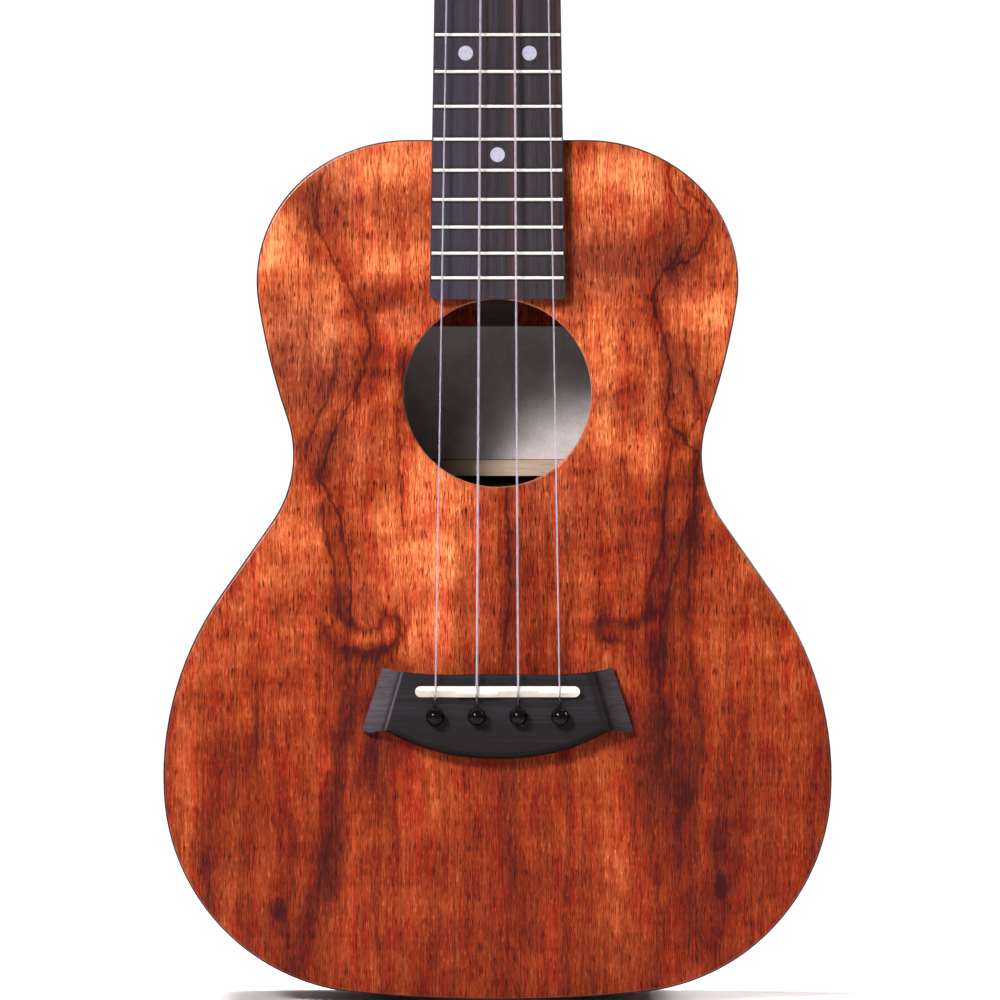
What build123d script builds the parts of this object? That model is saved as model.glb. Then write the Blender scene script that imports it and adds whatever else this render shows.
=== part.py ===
"""Tenor ukulele, built flat on the bench and stood upright for export.

Bench frame, millimetres: x across the instrument (treble side positive), y along the neck with 0 at the
nut's front edge and the body at negative y, z out of the soundboard with 0 on its outer face.
Exported frame: +Z towards the head, -Y out of the soundboard, origin at the hanger cradle.
"""

import os
from math import atan2, cos, degrees, pi, radians, sin, tan

from build123d import *

# Driving dimensions
SCALE_LENGTH = 431.8
FRET_COUNT = 19
BODY_JOIN_FRET = 14
NUT_WIDTH = 38.0
BOARD_END_WIDTH = 47.4
BOARD_LENGTH = 295.2
BOARD_THICK = 5.2
STRING_SPREAD_NUT = 29.4
STRING_SPREAD_SADDLE = 43.1

DEPTH_NECK_END = 62.0
DEPTH_TAIL_END = 72.0
BODY_LENGTH = 300.0
TOP_THICK = 2.2
BACK_THICK = 2.2
SIDE_THICK = 2.0
EDGE_ROUND = 1.1
HOLE_ROUND = 0.8

HOLE_DIA = 65.5
HOLE_FROM_SADDLE = 104.0
LINING_THICK = 5.5
LINING_HEIGHT = 12.0

FRET_CROWN_WIDTH = 1.9
FRET_CROWN_HEIGHT = 1.0
FRET_TANG = (0.5, 1.6)
DOT_DIA = 5.1
DOT_FRETS = (5, 7, 10, 15)
OCTAVE_DOT_X = 11.1
SIDE_DOT_DIA = 1.8
INLAY_DEPTH = 1.4

NUT_LENGTH = 5.0
NUT_HEIGHT = 8.0
STRING_Z_NUT = 7.0

BLOCK_HEIGHT = 8.0
WING_HEIGHT = 3.0
BLOCK_ROUND = 3.0
SADDLE_SIZE = (57.3, 3.8)
SADDLE_SEAT = 4.0
SADDLE_TOP = 11.2
SADDLE_STEPS = {"g": 0.5, "c": -0.6, "e": 0.3, "a": -0.3}
PIN_SPREAD = 43.4
PIN_FROM_SADDLE = 8.7
PIN_HEAD_DIA = 6.45
PIN_HEAD_RISE = 2.4
PIN_TOP_RADIUS = 2.6
PIN_END_RADIUS = 2.1
PIN_LENGTH = 22.0
PIN_CLEARANCE = 0.08
STRING_IN_PIN = 2.45

STRINGS = ("g", "c", "e", "a")
STRING_DIA = {"g": 0.62, "c": 0.91, "e": 0.78, "a": 0.56}

HEAD_TILT = 12.0
HEAD_THICK = 11.5
HEAD_LENGTH = 134.0
VENEER_THICK = 1.5
POST_PLACES = {"g": (-20.0, 37.0), "c": (-17.5, 86.0), "e": (17.5, 86.0), "a": (20.0, 37.0)}
POST_RADIUS = 3.0
POST_TOP = 11.0
PLATE_THICK = 1.2
GEAR_TEETH = 14
MODULE = 0.6
WORM_PITCH_RADIUS = 2.5
WORM_HALF_LENGTH = 4.9
WORM_SHAFT_RADIUS = 1.5
RUN_CLEARANCE = 0.06
BUTTON_SIZE = (14.5, 17.0, 7.5)
BUTTON_CENTRE = 23.5

BOLT_RADIUS = 3.0
BOLT_Z = (-20.0, -43.0)
HANGER_POINT = (0.0, 9.0, -6.0)

# Half outline of the body as straight runs and tangent arcs (radius, turn), from the shoulder centre.
SHOULDER_RUN = 31.15
UPPER_ARCS = ((56.46, 37.0), (47.64, 62.0), (236.4, 10.0))
WAIST_ARC = (40.44, 54.0)
WAIST_RUN = 31.4
LOWER_ARCS = ((110.5, 38.0), (73.56, 81.0))
TAIL_TURN = 6.0

BACK_TILT = degrees(atan2(DEPTH_TAIL_END - DEPTH_NECK_END, BODY_LENGTH))


def fret_y(fret):
    """Bench y of a fret."""
    return SCALE_LENGTH * (2 ** (-fret / 12) - 1)


SHOULDER_Y = fret_y(BODY_JOIN_FRET)
SADDLE_Y = -SCALE_LENGTH
PIN_Y = SADDLE_Y - PIN_FROM_SADDLE
HOLE_Y = SADDLE_Y + HOLE_FROM_SADDLE
TAIL_Y = SHOULDER_Y - BODY_LENGTH
HEAD = Plane(
    origin=(0, NUT_LENGTH, 0),
    x_dir=(1, 0, 0),
    z_dir=(0, sin(radians(HEAD_TILT)), cos(radians(HEAD_TILT))),
)
BACK = Plane(
    origin=(0, SHOULDER_Y, -DEPTH_NECK_END),
    x_dir=(1, 0, 0),
    z_dir=(0, -sin(radians(BACK_TILT)), cos(radians(BACK_TILT))),
)


def board_width(y):
    """Fingerboard width at bench y."""
    return NUT_WIDTH - (BOARD_END_WIDTH - NUT_WIDTH) * y / BOARD_LENGTH


def block(x0, x1, y0, y1, z0, z1):
    """Box between two corners."""
    return Pos((x0 + x1) / 2, (y0 + y1) / 2, (z0 + z1) / 2) * Box(x1 - x0, y1 - y0, z1 - z0)


def disc(x, y, z0, z1, radius):
    """Upright cylinder."""
    return Pos(x, y, (z0 + z1) / 2) * Cylinder(radius, z1 - z0)


def together(shapes):
    """Fuses a list of shapes."""
    whole = shapes[0]
    for shape in shapes[1:]:
        whole = whole + shape
    return whole


def flip(shape):
    """Mirror image across the centre plane."""
    return mirror(shape, about=Plane.YZ)


def half_outline(inset):
    """Right half of the body as a face, set in from the outer line by inset."""
    run = Line((0, SHOULDER_Y - inset), (SHOULDER_RUN, SHOULDER_Y - inset))
    lines = [run]
    for radius, turn in UPPER_ARCS:
        lines.append(JernArc(lines[-1] @ 1, lines[-1] % 1, radius - inset, -turn))
    lines.append(JernArc(lines[-1] @ 1, lines[-1] % 1, WAIST_ARC[0] + inset, WAIST_ARC[1]))
    lines.append(Line(lines[-1] @ 1, (lines[-1] @ 1) + (lines[-1] % 1) * WAIST_RUN))
    for radius, turn in LOWER_ARCS:
        lines.append(JernArc(lines[-1] @ 1, lines[-1] % 1, radius - inset, -turn))
    tail_radius = (lines[-1] @ 1).X / sin(radians(TAIL_TURN))
    lines.append(JernArc(lines[-1] @ 1, lines[-1] % 1, tail_radius, -TAIL_TURN))
    end = lines[-1] @ 1
    lines[-1] = ThreePointArc(lines[-1] @ 0, lines[-1] @ 0.5, (0, end.Y))
    lines.append(Line((0, end.Y), (0, SHOULDER_Y - inset)))
    return make_face(Curve() + lines)


def half_prism(inset):
    """Right half of the body as a tall prism, well past the back."""
    return extrude(half_outline(inset), amount=-100)


def back_slab(low, high):
    """Slab parallel to the back, measured inwards from its outer face."""
    return BACK * Pos(0, 0, (low + high) / 2) * Box(400, 900, high - low)


def rod(points, radius):
    """Round rod along a bent line."""
    pieces = []
    for start, end in zip(points, points[1:]):
        run = Vector(*end) - Vector(*start)
        place = Plane(origin=start, z_dir=run)
        pieces.append(place * Pos(0, 0, run.length / 2) * Cylinder(radius, run.length))
    for point in points[1:-1]:
        pieces.append(Pos(*point) * Sphere(radius))
    return together(pieces)


def string_x(name, spread):
    """Bench x of a string where the outer two are spread apart."""
    return (STRINGS.index(name) - 1.5) * spread / 3


def string_radius(name):
    """Radius of a string."""
    return STRING_DIA[name] / 2


# Body
def make_body():
    """Soundboard, sides, back, blocks, linings, braces, strip, plate and label."""
    made = {}
    outer = half_prism(0)
    inner = half_prism(SIDE_THICK)
    lined = half_prism(SIDE_THICK + LINING_THICK)
    hole = disc(0, HOLE_Y, -10, 5, HOLE_DIA / 2)
    bolts = together(
        [Pos(0, SHOULDER_Y, z) * Rot(90, 0, 0) * Cylinder(BOLT_RADIUS, 90) for z in BOLT_Z]
    )
    pin_ways = together([pin_way(name) for name in STRINGS])

    top = outer & block(0, 200, TAIL_Y - 5, SHOULDER_Y + 5, -TOP_THICK, 0)
    rim = [e for e in top.edges().group_by(Axis.Z)[-1] if abs(e.center().X) > 0.01]
    top = fillet(rim, EDGE_ROUND) - hole
    mouth = [e for e in top.edges().filter_by(GeomType.CIRCLE) if abs(e.radius - HOLE_DIA / 2) < 0.01]
    top = fillet(mouth, HOLE_ROUND)
    made["soundboard_right"] = top - pin_ways
    made["soundboard_left"] = flip(top) - pin_ways

    back = outer & back_slab(0, BACK_THICK)
    made["back_right"] = back
    made["back_left"] = flip(back)

    between = block(-200, 200, TAIL_Y - 5, SHOULDER_Y + 5, -100, -TOP_THICK) - back_slab(-60, BACK_THICK)
    side = ((outer - inner) & between) - bolts
    made["side_right"] = side
    made["side_left"] = flip(side)

    whole_inner = (inner + flip(inner)) & between
    neck_space = block(-29, 29, SHOULDER_Y - 30, SHOULDER_Y + 5, -100, 5)
    tail_space = block(-26, 26, TAIL_Y - 5, TAIL_Y + 16, -100, 5)
    made["neck_block"] = (whole_inner & neck_space) - bolts
    made["tail_block"] = whole_inner & tail_space

    hollow = (lined + flip(lined)) & between
    lining = whole_inner - (lined + flip(lined)) - neck_space - tail_space
    under_top = block(-200, 200, TAIL_Y - 5, SHOULDER_Y, -TOP_THICK - LINING_HEIGHT, 0)
    made["linings"] = (lining & under_top) + (lining & back_slab(0, BACK_THICK + LINING_HEIGHT))

    plate = block(-45, 45, PIN_Y - 13, PIN_Y + 15, -TOP_THICK - 2.0, -TOP_THICK)
    made["bridge_plate"] = plate - pin_ways
    bars = []
    for y, height in ((HOLE_Y + 43, 9.0), (HOLE_Y - 42, 9.0)):
        bars.append(block(-110, 110, y - 3, y + 3, -TOP_THICK - height, -TOP_THICK))
    for x in (-32, 0, 32):
        bars.append(block(x - 2.5, x + 2.5, TAIL_Y + 24, HOLE_Y - 46, -TOP_THICK - 6.0, -TOP_THICK))
    made["top_braces"] = (together(bars) & hollow) - plate

    brace_y = (HOLE_Y + 52, SADDLE_Y + 78.1, SADDLE_Y - 8, SADDLE_Y - 62)
    spans = together([block(-130, 130, y - 2.8, y + 2.8, -100, 0) for y in brace_y])
    made["back_braces"] = spans & hollow & back_slab(BACK_THICK, BACK_THICK + 10)
    label_space = block(-36, 36, SADDLE_Y + 81.2, SADDLE_Y + 128.5, -100, 0)
    made["label"] = label_space & back_slab(BACK_THICK, BACK_THICK + 0.2)
    strip = block(-7, 7, TAIL_Y, SHOULDER_Y, -100, 0) & hollow & back_slab(BACK_THICK, BACK_THICK + 1.6)
    made["back_seam_strip"] = strip - spans - label_space - neck_space - tail_space
    made["neck_bolts"] = neck_bolts()
    return made


def neck_bolts():
    """Two socket-head bolts through the neck block into the heel."""
    bolts = []
    for z in BOLT_Z:
        shank = Pos(0, SHOULDER_Y - 10, z) * Rot(90, 0, 0) * Cylinder(BOLT_RADIUS, 40)
        washer = Pos(0, SHOULDER_Y - 30.8, z) * Rot(90, 0, 0) * Cylinder(8, 1.6)
        head = Pos(0, SHOULDER_Y - 34.6, z) * Rot(90, 0, 0) * Cylinder(5, 6)
        socket = Pos(0, SHOULDER_Y - 37.6, z) * Rot(90, 0, 0) * extrude(RegularPolygon(2.6, 6), 3, both=True)
        bolts.append(shank + washer + head - socket)
    return bolts[0] + bolts[1]


# Neck
def under_section(plane, width, depth, squareness):
    """Neck cross-section: flat top, rounded underside."""
    points = []
    for step in range(9):
        turn = pi * step / 8
        across = abs(cos(turn)) ** (2 / squareness) * (-1 if step < 4 else 1)
        down = abs(sin(turn)) ** (2 / squareness)
        points.append((across * width / 2, -down * depth))
    points[4] = (0, -depth)
    points[0] = (-width / 2, 0)
    points[8] = (width / 2, 0)
    curve = Curve() + [Spline(*points), Line(points[8], points[0])]
    return plane * make_face(curve)


def across_neck(y):
    """Plane square to the neck."""
    return Plane(origin=(0, y, 0), x_dir=(1, 0, 0), z_dir=(0, -1, 0))


def head_outline():
    """Headstock seen square on, in its own plane."""
    side = FilletPolyline((19, 3), (19, 9), (31.5, 30), (28.5, 82), (33.5, 121), radius=9)
    crown = ThreePointArc((33.5, 121), (0, HEAD_LENGTH), (-33.5, 121))
    other = mirror(side, about=Plane.YZ)
    return make_face(Curve() + [side, crown, other, Line((-19, 3), (19, 3))])


def heel_sections():
    """Heel as slices parallel to the soundboard: depth, width at the body, reach along the neck."""
    slices = ((-8, 45, 52), (-16, 42, 40), (-25, 37.5, 26), (-36, 33, 20), (-48, 30, 17.5), (-66, 28, 16.5))
    faces = []
    for z, width, reach in slices:
        arc = EllipticalCenterArc((0, 0), width / 2, reach, start_angle=0, arc_size=180)
        faces.append(Pos(0, SHOULDER_Y, z) * make_face(Curve() + [arc, Line(arc @ 1, arc @ 0)]))
    return faces


def make_neck():
    """Neck with heel and headstock, heel cap and headstock veneer."""
    shaft = loft(
        [
            under_section(across_neck(SHOULDER_Y), board_width(SHOULDER_Y), 15.8, 2.3),
            under_section(across_neck(-8), board_width(-8), 12.6, 2.3),
        ],
        ruled=True,
    )
    head_start = Plane(origin=HEAD.from_local_coords((0, 4, 0)), x_dir=(1, 0, 0), z_dir=-HEAD.y_dir)
    throat = loft(
        [under_section(across_neck(-8), board_width(-8), 12.6, 2.3), under_section(head_start, 38, HEAD_THICK, 7)],
        ruled=True,
    )
    heel = loft(heel_sections())
    cap = heel & back_slab(0, BACK_THICK)
    heel = heel - back_slab(-60, BACK_THICK)

    outline = head_outline()
    head = extrude(outline, amount=-HEAD_THICK)
    corners = [e for e in head.edges().filter_by(Axis.Z) if e.center().Y > 110]
    head = fillet(corners, 4)
    veneer = fillet([e for e in extrude(outline, amount=VENEER_THICK).edges().filter_by(Axis.Z)
                     if e.center().Y > 110], 4)
    back_edges = [e for e in head.edges().group_by(Axis.Z)[0] if e.center().Y > 3.5]
    head = fillet(back_edges, 1.6)
    ways = together([disc(x, y, -20, 10, 3.8) for x, y in POST_PLACES.values()])
    screws = together([disc(x, y, -HEAD_THICK - 5, -HEAD_THICK + 8, 1.0) for x, y in screw_places()])
    head = head - ways - screws
    veneer = (veneer + block(-19, 19, 0, 3, 0, VENEER_THICK)) - ways

    bolts = together(
        [Pos(0, SHOULDER_Y, z) * Rot(90, 0, 0) * Cylinder(BOLT_RADIUS, 22) for z in BOLT_Z]
    )
    neck = (shaft + throat + heel + HEAD * head) - bolts
    return {"neck": neck, "heel_cap": cap, "headstock_veneer": HEAD * veneer}


def make_fingerboard():
    """Fingerboard, frets, inlays and nut."""
    end = -BOARD_LENGTH
    half_end = BOARD_END_WIDTH / 2
    plan = make_face(Polyline(
        (-NUT_WIDTH / 2, 0), (NUT_WIDTH / 2, 0), (half_end, end), (-half_end, end), (-NUT_WIDTH / 2, 0)
    ))
    plan = fillet(plan.vertices().group_by(Axis.Y)[0], 2.0)
    board = extrude(plan, amount=BOARD_THICK)

    crown = make_face(Curve() + [
        ThreePointArc((-FRET_CROWN_WIDTH / 2, 0), (0, FRET_CROWN_HEIGHT), (FRET_CROWN_WIDTH / 2, 0)),
        Line((FRET_CROWN_WIDTH / 2, 0), (-FRET_CROWN_WIDTH / 2, 0)),
    ])
    crowns = []
    tangs = []
    for fret in range(1, FRET_COUNT + 1):
        y = fret_y(fret)
        half = board_width(y) / 2
        bar = Plane(origin=(-half, y, BOARD_THICK), x_dir=(0, 1, 0), z_dir=(1, 0, 0)) * extrude(crown, 2 * half)
        for way in (-1, 1):
            bevel = Pos(way * half, y, BOARD_THICK) * Rot(0, way * -32, 0) * Box(2.4, 4, 6, align=(
                Align.MIN if way > 0 else Align.MAX, Align.CENTER, Align.CENTER))
            bar = bar - bevel
        tang = block(-half, half, y - FRET_TANG[0] / 2, y + FRET_TANG[0] / 2, BOARD_THICK - FRET_TANG[1], BOARD_THICK)
        tangs.append(tang)
        crowns.append(bar + tang)

    dots = []
    for fret in DOT_FRETS:
        dots.append((0, (fret_y(fret) + fret_y(fret - 1)) / 2))
    octave = (fret_y(12) + fret_y(11)) / 2
    dots += [(-OCTAVE_DOT_X, octave), (OCTAVE_DOT_X, octave)]
    markers = [disc(x, y, BOARD_THICK - INLAY_DEPTH, BOARD_THICK, DOT_DIA / 2) for x, y in dots]
    side_spots = [((fret_y(f) + fret_y(f - 1)) / 2) for f in DOT_FRETS] + [octave - 2.5, octave + 2.5]
    pegs = [Pos(-board_width(y) / 2, y, 2.6) * Rot(0, 90, 0) * Cylinder(SIDE_DOT_DIA / 2, 4) for y in side_spots]
    side_dots = Compound(children=[board & peg for peg in pegs])
    for cut in tangs + markers + pegs:
        board = board - cut

    profile = Plane.YZ * make_face(Polyline(
        (0, 0), (NUT_LENGTH, 0), (NUT_LENGTH, 6.4), (1.6, NUT_HEIGHT), (0, NUT_HEIGHT), (0, 0)
    ))
    nut = extrude(profile, NUT_WIDTH / 2, both=True)
    for name in STRINGS:
        path = string_path(name)
        approach = Vector(*path[-2]) + (Vector(*path[-3]) - Vector(*path[-2])).normalized() * 4
        slot = rod([tuple(approach)] + path[-2:], string_radius(name) + 0.04)
        width = 1.9 * string_radius(name)
        floor = Vector(*path[-2])
        nut = nut - slot
        run = Vector(*path[-1]) - floor
        swing = degrees(atan2(-run.X, run.Y))
        dip = degrees(atan2(-run.Z, run.Y))
        lid = Location(path[-2]) * Rot(0, 0, swing) * Rot(-dip, 0, 0) * Box(width, 16, 4, align=(
            Align.CENTER, Align.CENTER, Align.MIN))
        nut = nut - Pos(0, 0, 0.05) * lid
    return {
        "fingerboard": board,
        "frets": Compound(children=crowns),
        "fret_markers": Compound(children=markers),
        "side_dots": side_dots,
        "nut": nut,
    }


# Bridge and strings
def pin_x(name):
    """Bench x of a bridge pin."""
    return string_x(name, PIN_SPREAD)


def pin_shank(name, grow):
    """Tapered shank of a bridge pin, grown for its hole."""
    low = BLOCK_HEIGHT - PIN_LENGTH
    cone = Cone(PIN_END_RADIUS + grow, PIN_TOP_RADIUS + grow, PIN_LENGTH)
    return Pos(pin_x(name), PIN_Y, low + PIN_LENGTH / 2) * cone


def pin_way(name):
    """Hole for one pin and the slot its string runs up."""
    slot = disc(pin_x(name), PIN_Y + STRING_IN_PIN, -20, BLOCK_HEIGHT + 1, string_radius(name) + 0.12)
    return pin_shank(name, PIN_CLEARANCE) + slot


def bridge_pin(name):
    """Ball-headed pin with a flute for its string."""
    x = pin_x(name)
    collar = disc(x, PIN_Y, BLOCK_HEIGHT, BLOCK_HEIGHT + PIN_HEAD_RISE, PIN_TOP_RADIUS)
    ball = Pos(x, PIN_Y, BLOCK_HEIGHT + PIN_HEAD_RISE) * Sphere(PIN_HEAD_DIA / 2)
    ball = ball & disc(x, PIN_Y, BLOCK_HEIGHT + 0.7, BLOCK_HEIGHT + 9, 9)
    flute = disc(x, PIN_Y + STRING_IN_PIN, -20, BLOCK_HEIGHT + 0.2, string_radius(name) + 0.2)
    return (pin_shank(name, 0) + collar - flute) + ball


def string_path(name):
    """Centre line of a string from its knot to the tuning post."""
    x = pin_x(name)
    radius = string_radius(name)
    low = (x, PIN_Y + STRING_IN_PIN, BLOCK_HEIGHT - 1.9)
    crest_y = SADDLE_Y + SADDLE_STEPS[name]
    off = radius + 0.04
    slope = atan2(SADDLE_TOP - low[2], crest_y - low[1])
    crest = (string_x(name, STRING_SPREAD_SADDLE), crest_y - off * tan(slope / 2), SADDLE_TOP + off)
    start = (x, PIN_Y + STRING_IN_PIN, -6.0)
    nut = (string_x(name, STRING_SPREAD_NUT), 0.8, STRING_Z_NUT)
    post_x, post_y = POST_PLACES[name]
    reach = POST_RADIUS + radius + RUN_CLEARANCE
    inner = post_x + reach * (1 if post_x < 0 else -1)
    end = HEAD.from_local_coords((inner, post_y, coil_top(name) + radius + 0.05))
    return [start, low, crest, nut, tuple(end)]


def coil_top(name):
    """Height of the top of a string's coil in the headstock's plane."""
    return 4.6 + 4 * STRING_DIA[name] * 0.96


def make_string(name):
    """Taut string with its knot under the bridge plate."""
    path = string_path(name)
    radius = string_radius(name)
    knot = Pos(path[0][0], path[0][1] + 0.9, path[0][2]) * Sphere(1.1)
    return rod(path, radius) + Pos(*path[0]) * Sphere(radius) + knot


def coil(name):
    """Turns of a string on its post, in the headstock's plane."""
    x, y = POST_PLACES[name]
    radius = string_radius(name)
    step = STRING_DIA[name] * 0.96
    turns = []
    for turn in range(4):
        z = 4.6 + step * turn + radius
        turns.append(Pos(x, y, z) * Torus(POST_RADIUS + radius, radius))
    return HEAD * together(turns)


def saddle_solid():
    """Saddle with a stepped crest under each string."""
    length, thick = SADDLE_SIZE
    plan = extrude(Pos(0, SADDLE_Y) * SlotOverall(length, thick), SADDLE_TOP)
    roofs = []
    edges = [-length / 2, -14.4, 0, 14.4, length / 2]
    for name, left, right in zip(STRINGS, edges, edges[1:]):
        crest = SADDLE_STEPS[name]
        half = thick / 2
        face = Plane(origin=(left, SADDLE_Y, 0), x_dir=(0, 1, 0), z_dir=(1, 0, 0)) * make_face(Polyline(
            (-half, SADDLE_SEAT), (half, SADDLE_SEAT), (half, SADDLE_TOP - (half - crest) * 0.35),
            (crest, SADDLE_TOP), (-half, SADDLE_TOP - (half + crest) * 1.05), (-half, SADDLE_SEAT),
        ))
        roofs.append(extrude(face, right - left))
    return together(roofs) & plan


def make_bridge():
    """Bridge with scooped wings, its saddle and pins."""
    right = [(0, 6.0), (31.3, 6.6), (40.1, 8.3)]
    lower = [(40.2, -13.6), (31.3, -17.5), (18.0, -21.8), (0, -23.5)]
    tip = [(40.1, 8.3), (47.3, -13.7), (44.6, -14.3), (40.2, -13.6)]
    top_edge = Spline(*right, tangents=((1, 0), (1, 0.3)))
    low_edge = Spline(*lower, tangents=((-1, -0.35), (-1, 0)))
    half = make_face(Curve() + [top_edge, Polyline(*tip), low_edge, Line((0, -23.5), (0, 6.0))])
    half = Pos(0, SADDLE_Y) * half
    body = extrude(half, BLOCK_HEIGHT)
    upper = body.edges().group_by(Axis.Z)[-1]
    body = fillet([e for e in upper if e.length > 30 and e.center().Y < SADDLE_Y - 10], BLOCK_ROUND)
    body = body + flip(body)

    ridge_lean = degrees(atan2(4.6, 15.8))
    reach = 9.0
    drop = BLOCK_HEIGHT - WING_HEIGHT
    radius = (reach ** 2 + drop ** 2) / (2 * drop)
    scoop = Pos(reach, 0, WING_HEIGHT + radius) * Rot(90, 0, 0) * Cylinder(radius, 60)
    scoop = scoop + block(reach, 60, -30, 30, WING_HEIGHT, 30)
    scoop = scoop & block(0, 60, -30, 30, 0, 30)
    scoop = Pos(33.3, SADDLE_Y + 6.5, 0) * Rot(0, 0, ridge_lean) * scoop
    body = body - scoop - flip(scoop)
    seat = extrude(Pos(0, SADDLE_Y, SADDLE_SEAT) * SlotOverall(*SADDLE_SIZE), 12)
    body = body - seat
    for name in STRINGS:
        path = string_path(name)
        radius = string_radius(name) + 0.25
        low = Vector(*path[1])
        run = Vector(*path[2]) - low
        pitch = degrees(atan2(run.Z, run.Y))
        ramp = Location(path[1]) * Rot(pitch, 0, 0) * Box(2 * radius, 12, 6, align=(
            Align.CENTER, Align.MIN, Align.MIN))
        ramp = ramp & block(-60, 60, PIN_Y, SADDLE_Y, 0, 20)
        body = body - pin_way(name) - rod(path[1:3], radius) - ramp
    made = {"bridge": body, "saddle": saddle_solid()}
    for name in STRINGS:
        made["bridge_pin_" + name] = bridge_pin(name)
        made["string_" + name] = make_string(name)
        made["string_winding_" + name] = coil(name)
    return made


# Tuning machines, built for the treble side about the post axis, in the headstock's plane
BACK_FACE = -HEAD_THICK
PLATE_LOW = BACK_FACE - PLATE_THICK
GEAR_PITCH_RADIUS = MODULE * GEAR_TEETH / 2
WORM_Y = GEAR_PITCH_RADIUS + WORM_PITCH_RADIUS + 0.08
GEAR_MID = PLATE_LOW - 3.4
GEAR_WIDTH = 2.8
WORM_LEAD = pi * MODULE
SCREW_Y = (-7.3, 12.7)


def screw_places():
    """Plate screw positions on the headstock."""
    return [(x, y + offset) for x, y in POST_PLACES.values() for offset in SCREW_Y]


def gear_blank():
    """Gear wheel with straight-sided teeth on a keyed bore."""
    root = GEAR_PITCH_RADIUS - 0.75
    tip = GEAR_PITCH_RADIUS + 0.5
    points = []
    for tooth in range(GEAR_TEETH):
        middle = 2 * pi * tooth / GEAR_TEETH + pi / 2
        for radius, half in ((root, -0.55), (tip, -0.2), (tip, 0.2), (root, 0.55)):
            turn = middle + half / radius
            points.append((radius * cos(turn), radius * sin(turn)))
    face = make_face(Polyline(*points, points[0]))
    wheel = Pos(0, 0, GEAR_MID - GEAR_WIDTH / 2) * extrude(face, GEAR_WIDTH)
    return wheel - post_end()


def post_end():
    """Flatted end of the post that carries the gear."""
    end = disc(0, 0, GEAR_MID - GEAR_WIDTH / 2, GEAR_MID + GEAR_WIDTH / 2, 2.1)
    return end - block(1.4, 4, -4, 4, GEAR_MID - 5, GEAR_MID + 5)


def worm_piece():
    """Worm with its shaft, along +x."""
    root = WORM_PITCH_RADIUS - 0.65
    tip = WORM_PITCH_RADIUS + 0.5
    turns = 2 * WORM_HALF_LENGTH + 3 * WORM_LEAD
    path = Helix(pitch=WORM_LEAD, height=turns, radius=root)
    start = Plane(origin=path @ 0, x_dir=(1, 0, 0), z_dir=path % 0)
    profile = make_face(Polyline((-0.1, -0.5), (tip - root, -0.13), (tip - root, 0.13), (-0.1, 0.5), (-0.1, -0.5)))
    thread = sweep(start * profile, path=path, is_frenet=True)
    thread = Pos(0, 0, -turns / 2) * thread
    thread = thread & Cylinder(tip + 1, 2 * WORM_HALF_LENGTH)
    body = thread + Cylinder(root, 2 * WORM_HALF_LENGTH)
    worm = Rot(0, 90, 0) * body
    return worm


def shaft_piece():
    """Plain shaft through both lugs out to the button, along +x."""
    inner = -8.0
    outer = BUTTON_CENTRE + 2.0
    shaft = Rot(0, 90, 0) * Cylinder(WORM_SHAFT_RADIUS, outer - inner)
    shaft = Pos((inner + outer) / 2, 0, 0) * shaft
    collar = Pos(-7.6, 0, 0) * Rot(0, 90, 0) * Cylinder(2.2, 0.8)
    washer = Pos(8.4, 0, 0) * Rot(0, 90, 0) * Cylinder(2.6, 2.0)
    return shaft + collar + washer


def button_piece():
    """Oval button with a collar on its shaft side, along +x."""
    length, width, thick = BUTTON_SIZE
    oval = extrude(Ellipse(length / 2, width / 2), thick / 2, both=True)
    oval = fillet(oval.edges(), 2.6)
    collar = Pos(-length / 2 - 0.6, 0, 0) * Rot(0, 90, 0) * Cone(2.6, 3.6, 4.0)
    body = Pos(BUTTON_CENTRE, 0, 0) * (oval + collar)
    return body - Pos(10, 0, 0) * Rot(0, 90, 0) * Cylinder(WORM_SHAFT_RADIUS, 2 * (BUTTON_CENTRE + 2.0 - 10))


def post_piece():
    """String post with its hole, collar and flatted end."""
    body = disc(0, 0, PLATE_LOW - 0.1, POST_TOP, POST_RADIUS)
    body = fillet(body.edges().group_by(Axis.Z)[-1], 0.8)
    collar = disc(0, 0, GEAR_MID + GEAR_WIDTH / 2, PLATE_LOW - 0.1, 3.6)
    eye = Pos(0, 0, 8.6) * Rot(90, 0, 0) * Cylinder(0.9, 20)
    tapped = disc(0, 0, GEAR_MID - 6, GEAR_MID + 6, 1.0)
    return body + collar + post_end() - eye - tapped


def gear_screw_piece():
    """Slotted screw that holds the gear on the post."""
    low = GEAR_MID - GEAR_WIDTH / 2
    head = disc(0, 0, low - 1.5, low, 2.9)
    slot = block(-4, 4, -0.35, 0.35, low - 1.5, low - 0.8)
    return head + disc(0, 0, low, GEAR_MID + 5.5, 1.0) - slot


def plate_piece():
    """Base plate with the two lugs that carry the worm shaft."""
    y0 = SCREW_Y[0] - 2.8
    y1 = SCREW_Y[1] + 2.8
    plan = Pos(0, (y0 + y1) / 2) * RectangleRounded(16.4, y1 - y0, 3.5)
    plate = Pos(0, 0, PLATE_LOW) * extrude(plan, PLATE_THICK)
    for x in (-6.4, 6.4):
        lug = block(x - 0.7, x + 0.7, WORM_Y - 3.2, WORM_Y + 3.2, GEAR_MID, PLATE_LOW)
        tongue = Pos(x, WORM_Y, GEAR_MID) * Rot(0, 90, 0) * Cylinder(3.2, 1.4)
        plate = plate + (lug + tongue)
    bore = Pos(0, WORM_Y, GEAR_MID) * Rot(0, 90, 0) * Cylinder(WORM_SHAFT_RADIUS + RUN_CLEARANCE, 30)
    plate = plate - bore - disc(0, 0, -30, 10, POST_RADIUS + RUN_CLEARANCE)
    for y in SCREW_Y:
        plate = plate - disc(0, y, -30, 10, 1.0)
    return plate


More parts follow.
